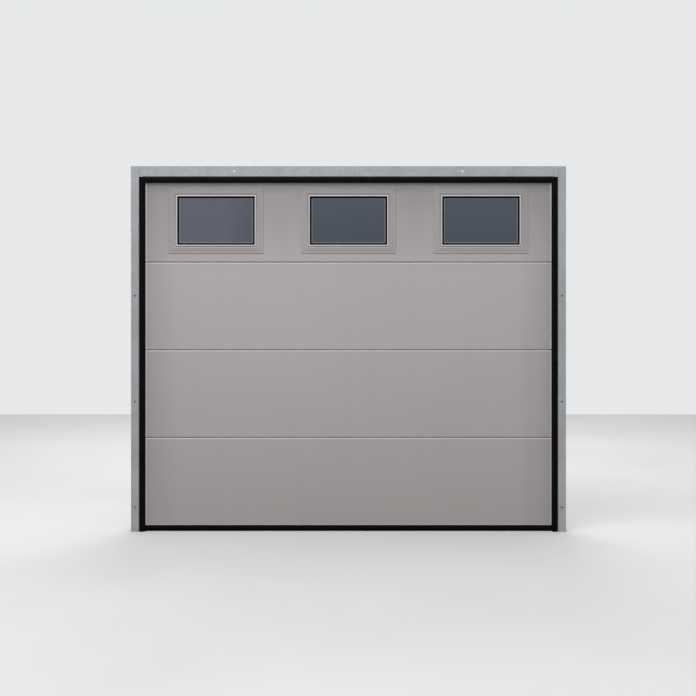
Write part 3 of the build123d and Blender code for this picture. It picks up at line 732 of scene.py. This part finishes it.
def make_window_pieces(finishes):
    """Moulded outer frames, beads, gaskets and inner frames, with rounded edges."""
    moulding = rounded([
        (7.6, 17.6), (8.4, 16.4), (12.8, 16.4), (16.4, 12.7), (20.2, 12.5), (22.2, 14.6), (33, 14.9),
        (35.2, 17.4), (50.6, 18.5), (54.4, 22), (10.6, 22), (10.6, 42), (7.6, 42),
    ], 1.4)
    bead = rounded([(0.1, 19.9), (0.1, 11), (7.4, 11), (7.4, 19.9)], 2.0)
    gasket = rounded([(-10.4, 19.9), (-10.4, 18.3), (-3.2, 14.8), (-0.1, 14.5), (-0.1, 19.9)], 0.8, 3)
    inner = rounded([
        (-7.9, 38.5), (6, 38.5), (6, 62.1), (32.8, 62.1), (31, 67), (26, 68.9), (-4, 68.9), (-7.9, 65),
    ], 1.6)
    centres = {name: centre_of(name + "_window_pane") for name in WINDOWS}
    rings = [(
        side + "_moulded_frame", moulding, [side], "frame", "window_frame_paint", side + "_window_frame",
    ) for side in WINDOWS]
    rings += [
        ("glazing_bead_rings", bead, WINDOWS, "bead", "glazing_bead_plastic", "glazing_beads"),
        ("gasket_rings", gasket, WINDOWS, "gasket", "gasket_rubber", "window_gaskets"),
        ("inner_frame_rings", inner, WINDOWS, "inner", "inner_frame_plastic", "inner_window_frames"),
    ]
    for piece, outline, windows, finish, slot, node in rings:
        build = bmesh.new()
        for name in windows:
            mitred_ring(build, centres[name], outline)
        finished(piece, build, finishes[finish], slot, node)


# Small fittings, each standing on Z = 0


def hex_head(build, across, height, base):
    """A chamfered hexagon, its axis along Z. Millimetres."""
    radius = across / 2 / math.cos(math.pi / 6)
    levels = ((base, radius), (base + height * 0.85, radius), (base + height, radius * 0.86))
    angles = [math.tau * n / 6 for n in range(6)]
    rings = [
        [build.verts.new(Vector((r * math.cos(angle), r * math.sin(angle), z)) * MM) for angle in angles]
        for z, r in levels
    ]
    for lower, upper in zip(rings, rings[1:]):
        for n in range(6):
            build.faces.new((lower[n], lower[(n + 1) % 6], upper[(n + 1) % 6], upper[n]))
    build.faces.new(rings[-1])
    build.faces.new(list(reversed(rings[0])))


def sheet_screw():
    """Self-drilling screw with a washer head."""
    build = bmesh.new()
    disc(build, 6.2, 0, 1.2, 14, 5.6)
    hex_head(build, 8, 4.2, 1.1)
    return build


def track_nut():
    """Washer, nut and the end of its bolt."""
    build = bmesh.new()
    disc(build, 8.5, 0, 1.2, 18)
    hex_head(build, 13, 4.3, 1.1)
    disc(build, 4, 4, 6.7, 12, 3.4)
    return build


def round_head():
    """Low domed bolt head."""
    build = bmesh.new()
    for radius, low, high, top in ((8.2, 0, 1, 8.2), (8.2, 1, 2.4, 6.2), (6.2, 2.4, 3.4, 3)):
        disc(build, radius, low, high, 14, top)
    return build


def rivet():
    """Blind rivet with its broken mandrel."""
    build = bmesh.new()
    disc(build, 4.8, 0, 0.9, 12, 4.4)
    disc(build, 4.4, 0.9, 1.6, 12, 2.6)
    disc(build, 1.2, 1.4, 2.1, 8)
    return build


def set_screw():
    """Square-headed screw."""
    build = bmesh.new()
    disc(build, 3.6, 0, 3, 12)
    block(build, (-4.4, -4.4, 2.6), (4.4, 4.4, 10), 0.8)
    return build


# Rollers


def roller_tyre():
    build = bmesh.new()
    half = [(0, 22.9), (3.4, 22.5), (5.4, 21.2), (6, 19.4), (4.6, 18.4), (4.6, 12), (6, 11), (6, 9.5)]
    about_z(build, [(-along, radius) for along, radius in reversed(half[1:])] + half)
    return build


def roller_core():
    """The bearing's rings and balls, and the stem with its head."""
    build = bmesh.new()
    about_z(build, [(-4.8, 8.6), (-4.8, 9.6), (4.8, 9.6), (4.8, 8.6), (2, 8.2), (-2, 8.2)], 28)
    about_z(build, [(-5.2, 5.2), (-5.2, 6.6), (-2, 7), (2, 7), (5.2, 6.6), (5.2, 5.2)], 28)
    for step in range(9):
        angle = math.tau * step / 9
        ball = bmesh.ops.create_icosphere(build, subdivisions=1, radius=1.3 * MM)
        at = Vector((7.8 * math.cos(angle), 7.8 * math.sin(angle), 3.8)) * MM
        bmesh.ops.translate(build, verts=ball["verts"], vec=at)
    about_z(build, [(-60, 0.2), (-60, 4.6), (-59, 5.2), (5.6, 5.2), (5.6, 0.2)], 20)
    disc(build, 7.2, 5.2, 6, 20, 6.4)
    return build


def roller_places():
    places = []
    for side, _, low, high in sided("rollers"):
        middle = (low + high) / 2
        wheel_x = max(abs(low.x), abs(high.x)) - ROLLER_HALF_WIDTH
        places.append(((side * wheel_x, middle.y, middle.z), (side, 0, 0)))
    return places


# Hinges


def hinge_body(build, width):
    """Hinge lying on XY, its upper plate towards -Y: plates, ribs, knuckles and pin. Millimetres."""
    half = width / 2
    for side in (-1, 1):
        for x, ends, base, top, chamfer in ((half, (9, 60), 0, 2.4, 1.0), (3, (16, 50), 1.5, 3.3, 0.8)):
            near, far = sorted(side * end for end in ends)
            block(build, (-x, near, base), (x, far, top), chamfer)
    knuckles = 5
    pitch = (width - 4) / knuckles
    length = pitch - 0.5
    for n in range(knuckles):
        start = -half + 2 + n * pitch
        knuckle = [(0, 2.6), (0, 4.6), (0.5, 5.2), (length - 0.5, 5.2), (length, 4.6), (length, 2.6)]
        about_x(build, knuckle, Vector((start, 0, HINGE_PIN_HEIGHT)) * MM, steps=20)
        side = -1 if n % 2 == 0 else 1
        near, far = sorted((side * 2, side * 10))
        block(build, (start, near, 0), (start + length, far, 2.4), 0.4)
    pin = [(0, 0.2), (0, 3.4), (1, 3.4), (1.2, 2.5), (width - 1.4, 2.5), (width - 1.2, 3.2)]
    pin += [(width - 0.8, 3.2), (width - 0.8, 0.2)]
    about_x(build, pin, Vector((-half + 0.4, 0, HINGE_PIN_HEIGHT)) * MM, steps=16)


def centre_hinge():
    build = bmesh.new()
    hinge_body(build, 64)
    return build


def side_hinge():
    """The same hinge with a folded carrier above its pin, and the tube for the roller's stem."""
    build = bmesh.new()
    hinge_body(build, 50)
    up = -26
    for x in (-21, 19.5):
        block(build, (x, up - 8.5, 1.5), (x + 2, up + 8.5, TUBE_DEPTH), 0.6)
    block(build, (-21, up - 15, 1.4), (21.5, up + 15, 3.4), 0.8)
    about_x(build, stem_tube(45), Vector((-22, up, TUBE_DEPTH)) * MM, steps=28)
    return build


def stem_tube(length):
    """Outline of the open tube that holds a roller's stem."""
    return [(0, 5.6), (0, 7.7), (0.6, 8.3), (length - 0.6, 8.3), (length, 7.7), (length, 5.6)]


def hinge_places(node):
    places = []
    for low, high in islands(node):
        middle = (low + high) / 2
        places.append(((middle.x, low.y, middle.z), (0, 1, 0)))
    return places


def hinge_screws(places, across):
    """Four screws in each plate of the hinges, on either side of the middle."""
    spots = [(dx, side * dz) for side in (-1, 1) for dx in (-across, across) for dz in (30, 49)]
    return [
        ((x + dx * MM, y + 2.3 * MM, z + dz * MM), facing)
        for (x, y, z), facing in places for dx, dz in spots
    ]


# Where screws, rivets and nuts stand


def bracket_screws():
    """Screws on the bottom and top corner brackets, and rivets along the end caps."""
    screws, rivets = [], []
    back = corners("section_end_caps")[1].y + 3 * MM
    for side, inner, low, _ in sided("bottom_brackets"):
        for dx, dz in ((9, 10), (9, 50), (9, 88), (35, 88), (35, 60), (66, 88), (66, 60)):
            screws.append(((side * (inner + dx * MM), back - 0.2 * MM, low.z + dz * MM), (0, 1, 0)))
    for side, _, low, high in sided("top_brackets"):
        middle = (low.x + high.x) / 2
        for dx in (-24, 24):
            for z in (low.z + 10 * MM, (low.z + high.z) / 2, high.z - 18 * MM):
                screws.append(((middle + dx * MM, low.y + 2.5 * MM, z), (0, 1, 0)))
    for side, inner, low, high in sided("section_end_caps"):
        outer = max(abs(low.x), abs(high.x))
        for step in range(4):
            z = low.z + (high.z - low.z) * (0.2 + 0.2 * step)
            rivets.append(((side * (inner + 8 * MM), high.y, z), (0, 1, 0)))
        for step in range(5):
            z = low.z + (high.z - low.z) * (0.08 + 0.21 * step)
            rivets.append(((side * outer, low.y + 9 * MM, z), (side, 0, 0)))
    return screws, rivets


def track_nuts():
    """Nuts outside the posts and end plates, with the heads of their bolts inside the tracks."""
    track_low, track_high = corners("vertical_tracks")
    bend_low, bend_high = corners("track_bends")
    level, upper = centre_of("ceiling_tracks").z, centre_of("upper_tracks").z
    web = track_high.x
    hanger_foot = corners("rear_hangers")[0].z + 22 * MM

    # (y, z, how far out the nut stands) of each bolt through a track
    middle = (track_low.y + track_high.y) / 2
    bolts = [(middle, track_low.z + 0.12 + 0.42 * step, 2) for step in range(5)]
    for along, up in ((0.8, 0.6), (0.42, 0.9075)):
        bolts.append((bend_high.y - BEND_RADIUS * along, bend_low.z + BEND_RADIUS * up, 5))
    bolts += [(0.43, level, 5), (0.15, upper, 5), (0.43, upper, 5)]
    bolts += [(y, z, 3) for y in (2.5, 2.54) for z in (level, upper)]
    nuts, heads = [], []
    for side in (-1, 1):
        for y, z, out in bolts:
            nuts.append(((side * (web + out * MM), y, z), (side, 0, 0)))
            heads.append(((side * (web - 1.5 * MM), y, z), (-side, 0, 0)))
        for y, z in ((2.5, hanger_foot), (2.518, hanger_foot), (2.582, -0.045), (2.582, 0.0)):
            nuts.append(((side * (web + 3 * MM), y, z), (side, 0, 0)))
    return nuts, heads


def window_screws():
    """Screws round the inner frames."""
    screws = []
    y = corners("inner_window_frames")[1].y - 0.1 * MM
    half_w = gasket_half_width + 11 * MM
    half_h = gasket_half_height + 11 * MM
    round_one = []
    for side in (-1, 1):
        round_one += [(along, side) for along in (-0.8, -0.27, 0.27, 0.8)]
        round_one += [(side, along) for along in (-0.45, 0.45)]
    for name in WINDOWS:
        centre = centre_of(name + "_window_pane")
        screws += [((centre.x + u * half_w, y, centre.z + v * half_h), (0, 1, 0)) for u, v in round_one]
    return screws


def make_fixings(pattern, plated, nylon_finish):
    rollers = roller_places()
    scatter("roller_tyres", pattern, roller_tyre(), rollers, nylon_finish, "nylon", "rollers", seed=1)
    scatter("roller_cores", pattern, roller_core(), rollers, plated, "hinge_zinc", seed=2)
    sides, centres = hinge_places("side_hinges"), hinge_places("centre_hinges")
    for name, build, places, node in (
        ("side_hinge_bodies", side_hinge(), sides, "side_hinges"),
        ("centre_hinge_bodies", centre_hinge(), centres, "centre_hinges"),
    ):
        scatter(name, pattern, build, places, plated, "hinge_zinc", node, turn=0.0)
    on_hinges = hinge_screws(sides, 17) + hinge_screws(centres, 22)
    on_brackets, on_caps = bracket_screws()
    nuts, heads = track_nuts()
    for seed, (name, build, places, slot) in enumerate((
        ("hinge_screws", sheet_screw(), on_hinges, "hinge_zinc"),
        ("bracket_screws", sheet_screw(), on_brackets, "hinge_zinc"),
        ("cap_rivets", rivet(), on_caps, "end_cap_zinc"),
        ("track_nuts", track_nut(), nuts, "zinc_sheet"),
        ("track_bolt_heads", round_head(), heads, "zinc_sheet"),
        ("inner_frame_screws", sheet_screw(), window_screws(), "inner_frame_plastic"),
    ), 11):
        scatter(name, pattern, build, places, plated, slot, seed=seed)


# Corner brackets and the floor seal


def outward_block(build, side, corner, low, high, chamfer):
    """A block in millimetres from a bracket's corner, X outwards on its side of the door."""
    first, second = (corner / MM + Vector((side * x, y, z)) for x, y, z in (low, high))
    first.x, second.x = sorted((first.x, second.x))
    block(build, first, second, chamfer)


def make_bottom_brackets(finish):
    """Brackets at the leaf's foot, with the lowest rollers' tubes and the cables' pins."""
    build = bmesh.new()
    cap_back = corners("section_end_caps")[1].y
    cap_end = 79.2
    pin = [(0, 0.2), (0, 4.9), (9, 4.9), (9.6, 4.2), (19, 4.2), (19.6, 4.9), (21.6, 4.9)]
    pin += [(21.6, 7.8), (24.8, 7.8), (25.6, 7), (25.6, 0.2)]
    for side, inner, low, high in sided("bottom_brackets"):
        corner = Vector((side * inner, cap_back, low.z))
        height = (high.z - low.z) / MM
        front = (low.y - cap_back) / MM
        outward_block(build, side, corner, (0, 0, 0), (cap_end + 3, 2.9, height), 1.1)
        outward_block(build, side, corner, (cap_end, front, 0), (cap_end + 2.9, 2.9, height), 1.1)
        outward_block(build, side, corner, (20, 0, 7), (70, 3.9, 39), 0.8)
        for x in (20, 67):
            outward_block(build, side, corner, (x, 0, 10), (x + 2.8, 15, 36), 0.9)
        tube_start = corner + Vector((side * 19.8, TUBE_DEPTH, 23)) * MM
        about_x(build, stem_tube(50.2), tube_start, side, 28)
        about_x(build, pin, corner + Vector((side * cap_end, front + 18, 51)) * MM, side, 24)
    finished("bottom_corner_brackets", build, finish, "hinge_zinc", "bottom_brackets")


def make_top_brackets(finish):
    """Brackets at the leaf's head, whose cheeks reach back to the upper rollers."""
    build = bmesh.new()
    roller_y, roller_z = roller_places()[-1][0][1:]
    for side, inner, low, high in sided("top_brackets"):
        corner = Vector((side * inner, low.y, low.z))
        top = high.z - 9.5 * MM
        outward_block(build, side, corner, (0, 0, 0), (60, 2.4, (top - low.z) / MM), 1.0)
        cheek = [
            (low.y, low.z + 22 * MM), (low.y + 8 * MM, low.z + 22 * MM),
            (high.y - 1 * MM, roller_z - 9 * MM), (high.y, roller_z - 6 * MM),
            (high.y, roller_z + 6 * MM), (high.y - 2 * MM, roller_z + 8 * MM), (low.y, top - 1 * MM),
        ]
        for offset in (12, 42):
            ends = [side * (inner + x * MM) for x in (offset, offset + 3)]
            slab(build, cheek, min(ends), max(ends))
        about_x(build, stem_tube(45), (side * (inner + 10 * MM), roller_y, roller_z), side, 28)
    finished("top_corner_brackets", build, finish, "hinge_zinc", "top_brackets")


def make_floor_seal(finish):
    """Hollow rubber seal along the floor, with a rib along its front and fine grooves down its back."""
    low, high = corners("floor_seal")
    front = [(23, 37), (23, 31), (23.8, 30.2), (23.8, 28.8), (23, 28), (23, 21.2), (22.2, 19.8)]
    front += [(21.95, 18), (22.2, 16.2), (23, 14.8)]
    under = [(23, 6), (23.5, 3.8), (24.8, 1.8), (26.8, 0.4), (29, 0)]
    back = [(56, 0), (58.2, 0.4), (60.2, 1.8), (61.5, 3.8), (62, 6)]
    for groove in range(5):
        z = 9 + 4.2 * groove
        back += [(62, z), (61, z + 0.7), (61, z + 1.5), (62, z + 2.2)]
    back += [(62, 36.4), (61.4, 37), (58.5, 37), (58.5, 5), (25.6, 5), (25.6, 37)]
    build = bmesh.new()
    slab(build, [(y * MM, floor_z + z * MM) for y, z in front + under + back], low.x, high.x)
    finished("grooved_floor_seal", build, finish, "floor_seal_rubber", "floor_seal")


# Springs, drums, pulleys and cables


def make_springs(finish):
    coil = coil_pattern()
    shaft = centre_of("torsion_shaft")
    for side in ("left", "right"):
        node = side + "_torsion_spring"
        low, high = corners(node)
        length = high.x - low.x
        piece = coil.made(
            side + "_spring_coils", in_scene("coil_source", bpy.data.meshes.new("coil_source")),
            Turns=length / SPRING_LEAD, Radius=24.5 * MM, Wire=3.4 * MM, Length=length - 7 * MM,
            Place=(low.x + 3.5 * MM, shaft.y, shaft.z), Reverse=side == "left", Finish=finish,
        )
        keep(piece, "spring_steel", node)


def make_cones(finish):
    """Cast cones at the springs' ends: flanged at the centre bracket, with four bar sockets outside."""
    shaft = centre_of("torsion_shaft")
    build = bmesh.new()
    flanged = [(0, 13), (0, 37.4), (0.8, 38), (5.6, 38), (6.4, 37), (7.2, 31.6), (9, 30)]
    flanged += [(25, 30), (27, 28.6), (27, 13)]
    socketed = [(0, 13), (0, 28.6), (1.4, 31), (3, 33.4), (8, 33.8), (10, 32.6), (13, 26), (15, 24.4)]
    socketed += [(40.4, 24), (41.8, 22.6), (41.8, 13)]
    socket = [(19, 6.4), (19, 9.8), (32.4, 9), (33.8, 8.4), (33.8, 6.8), (33.2, 6.4)]
    for side, inner, _, _ in sided("spring_cones"):
        is_outer = inner > CENTRE_CONES_WITHIN
        about_x(build, socketed if is_outer else flanged, (side * inner, shaft.y, shaft.z), side, 56)
        if is_outer:
            middle = Matrix.Translation((side * (inner + 28 * MM), shaft.y, shaft.z))
            for quarter in range(4):
                about_z(build, socket, 24, middle @ Matrix.Rotation(math.tau * quarter / 4, 4, "X"))
    finished("cast_spring_cones", build, finish, "cast_alloy", "spring_cones")


def drum_profile():
    """Outline of a drum: hub, flange, grooved barrel and outer flange."""
    points = [(-46, 13), (-46, 22.6), (-44.6, 24), (-29, 24), (-26, 27), (-26, 58.6), (-25, 60)]
    points += [(-23.2, 60), (-20.4, 54.4)]
    for groove in range(-3, 4):
        middle = groove * 4.9 - 1
        points += [(middle - 2.1, 54.3), (middle - 1.1, 53.6), (middle, 53.3), (middle + 1.1, 53.6)]
        points += [(middle + 2.1, 54.3)]
    return points + [(18.6, 54.4), (21.4, 60), (23, 60), (24, 58.8), (24, 17), (22.6, 15), (22.6, 13)]


def mirrored(side):
    return Matrix.Scale(side, 4, (0, 0, 1))


def make_drums(pattern, finish, plated):
    """Grooved drums with six ribs on their outer faces, and the set screws of drums and cones."""
    shaft = centre_of("torsion_shaft")
    build = bmesh.new()
    hubs = []
    for side, inner, _, _ in sided("cable_pulleys"):
        middle = Vector((rope_x(side, inner), shaft.y, shaft.z))
        about_x(build, drum_profile(), middle, side, 72)
        for rib in range(6):
            added = newest(build, block, (23, -2, -33.5), (56, 2, -25.5), 1.2)
            turn = along_x(middle) @ mirrored(side) @ Matrix.Rotation(math.tau * rib / 6, 4, "Z")
            bmesh.ops.transform(build, matrix=turn, verts=added)
        hubs.append((middle.x - side * 38 * MM, 0.6, 0.6 + math.pi / 2))
    for side, inner, _, _ in sided("spring_cones"):
        if inner > CENTRE_CONES_WITHIN:
            hubs.append((side * (inner + 28 * MM), math.pi / 4, 3 * math.pi / 4))
    screws = []
    for x, *angles in hubs:
        for angle in angles:
            facing = Vector((0, math.cos(angle), math.sin(angle)))
            screws.append((Vector((x, shaft.y, shaft.z)) + facing * 23.5 * MM, facing))
    finished("grooved_drums", build, finish, "cast_alloy", "cable_drums")
    scatter("set_screws", pattern, set_screw(), screws, plated, "hinge_zinc", seed=4, turn=0.3)


def rope_x(side, inner):
    """Where a pulley's groove, and so the rope, stands across the door."""
    return side * (inner + 11 * MM)


def make_pulleys(finish):
    """Sheaves with a deep groove, each on a bolt with a nut."""
    build = bmesh.new()
    sheave = [(-4.9, 8.4), (-4.9, 12), (-2.6, 14), (-2.6, 24), (-4.9, 26.4), (-4.6, 27.6), (-3.8, 27.9)]
    sheave += [(-1.6, 23), (0, 22.2), (1.6, 23), (3.8, 27.9), (4.6, 27.6), (4.9, 26.4), (2.6, 24)]
    sheave += [(2.6, 14), (4.9, 12), (4.9, 8.4)]
    bolt = [(-7, 0.2), (-7, 7.6), (5, 7.6), (5.4, 7), (46, 7), (46, 0.2)]
    for side, inner, low, high in sided("cable_pulleys"):
        middle = (low + high) / 2
        middle.x = rope_x(side, inner)
        about_x(build, sheave, middle, steps=48)
        about_x(build, bolt, middle, side, 24)
        nut = Matrix.Translation((0, 0, -side * 11 * MM)) @ mirrored(side)
        added = newest(build, hex_head, 14.5, 6.5, 0)
        bmesh.ops.transform(build, matrix=along_x(middle) @ nut, verts=added)
    finished("grooved_pulleys", build, finish, "pulley_steel", "cable_pulleys")


def rope_route(x, pulley, shaft):
    """Points from the bottom bracket's pin up over the pulley, to the drum and three quarters round it."""
    foot = corners("lift_cables")[0].z
    points = [(x, pulley.y - PULLEY_REACH, foot + step * 0.05) for step in range(42)]
    for centre, reach, first, turn, steps in (
        (pulley, PULLEY_REACH, 180, 7.5, 13),
        (shaft, DRUM_REACH, 90, 5, 55),
    ):
        for step in range(steps):
            angle = math.radians(first - turn * step)
            points.append((x, centre.y + reach * math.cos(angle), centre.z + reach * math.sin(angle)))
    return points


def make_ropes(finish, sleeve_finish):
    shaft = centre_of("torsion_shaft")
    path = bpy.data.meshes.new("rope_paths")
    points, edges = [], []
    sleeves = bmesh.new()
    crimp = [(9, 1.3), (9, 3), (10, 3.5), (17, 3.5), (18.5, 2.9), (21.5, 2.9), (23, 3.5), (30, 3.5)]
    crimp += [(31, 3), (31, 1.3)]
    for side, inner, low, high in sided("cable_pulleys"):
        route = rope_route(rope_x(side, inner), (low + high) / 2, shaft)
        edges += [(len(points) + n, len(points) + n + 1) for n in range(len(route) - 1)]
        points += route
        about_z(sleeves, crimp, 20, Matrix.Translation(route[0]))
    path.from_pydata(points, edges, [])
    rope = rope_pattern().made(
        "laid_ropes", in_scene("rope_paths", path), Radius=1.6 * MM, Step=3 * MM, Lay=ROPE_TWIST,
        Finish=finish,
    )
    keep(rope, "wire_rope", "lift_cables")
    finished("rope_sleeves", sleeves, sleeve_finish, "bare_aluminium")


# The studio


def make_floor():
    mesh = bpy.data.meshes.new("studio_floor")
    ends = [(x, y, floor_z) for x, y in ((-14, -9), (14, -9), (14, 7), (-14, 7))]
    mesh.from_pydata(ends, [], [(0, 1, 2, 3)])
    mesh.materials.append(floor_material())
    in_scene("studio_floor", mesh)


def make_lamp(name, place, aim, width, height, power):
    data = bpy.data.lights.new(name, "AREA")
    data.shape = "RECTANGLE"
    data.size = width
    data.size_y = height
    data.energy = power
    lamp = in_scene(name, data)
    lamp.location = place
    lamp.rotation_euler = (Vector(aim) - Vector(place)).to_track_quat("-Z", "Y").to_euler()


def make_world():
    """Soft light from above, dimmer near the ground. Cameras, metal and glass see a pale room."""
    world = bpy.data.worlds.new("studio_world")
    world.use_nodes = True
    studio = Tree(world.node_tree)
    direction = studio.add("ShaderNodeTexCoord").outputs["Generated"]
    upward = studio.add("ShaderNodeSeparateXYZ", Vector=direction).outputs["Z"]
    lit = studio.tree.nodes["Background"]
    studio.give(lit, "Color", (0.97, 0.98, 1.0, 1.0))
    studio.give(lit, "Strength", studio.spread(upward, 0.3, 0.95, -0.2, 0.8))
    seen = studio.add("ShaderNodeBackground", Color=(0.8, 0.81, 0.82, 1.0))
    choice = studio.add("ShaderNodeMixShader", Fac=studio.seen_directly())
    studio.give(choice, 1, lit.outputs["Background"])
    studio.give(choice, 2, seen.outputs["Background"])
    studio.give(studio.tree.nodes["World Output"], "Surface", choice.outputs["Shader"])
    bpy.context.scene.world = world


def make_light():
    make_world()
    make_lamp("key_lamp", (-1.9, -3.4, 3.6), (-0.1, 0, -1.0), 4.5, 2.4, 177)
    make_lamp("fill_lamp", (3.2, -3.6, 2.6), (0, 0, -1.1), 3.0, 2.4, 34)
    make_lamp("garage_lamp", (0.0, 4.5, 2.6), (0, 0.5, -1.0), 4.0, 3.0, 150)


make_camera()
finishes = make_finishes()
dress_nodes(finishes)
fittings = fitting_pattern()
make_window_pieces(finishes)
make_fixings(fittings, finishes["plated"], finishes["nylon"])
make_bottom_brackets(finishes["plated"])
make_top_brackets(finishes["plated"])
make_floor_seal(finishes["floor_seal"])
make_springs(finishes["spring"])
make_cones(finishes["cast"])
make_drums(fittings, finishes["cast"], finishes["plated"])
make_pulleys(finishes["plated"])
make_ropes(finishes["rope"], finishes["aluminium"])
make_floor()
make_light()

bpy.context.scene.view_settings.view_transform = "Standard"
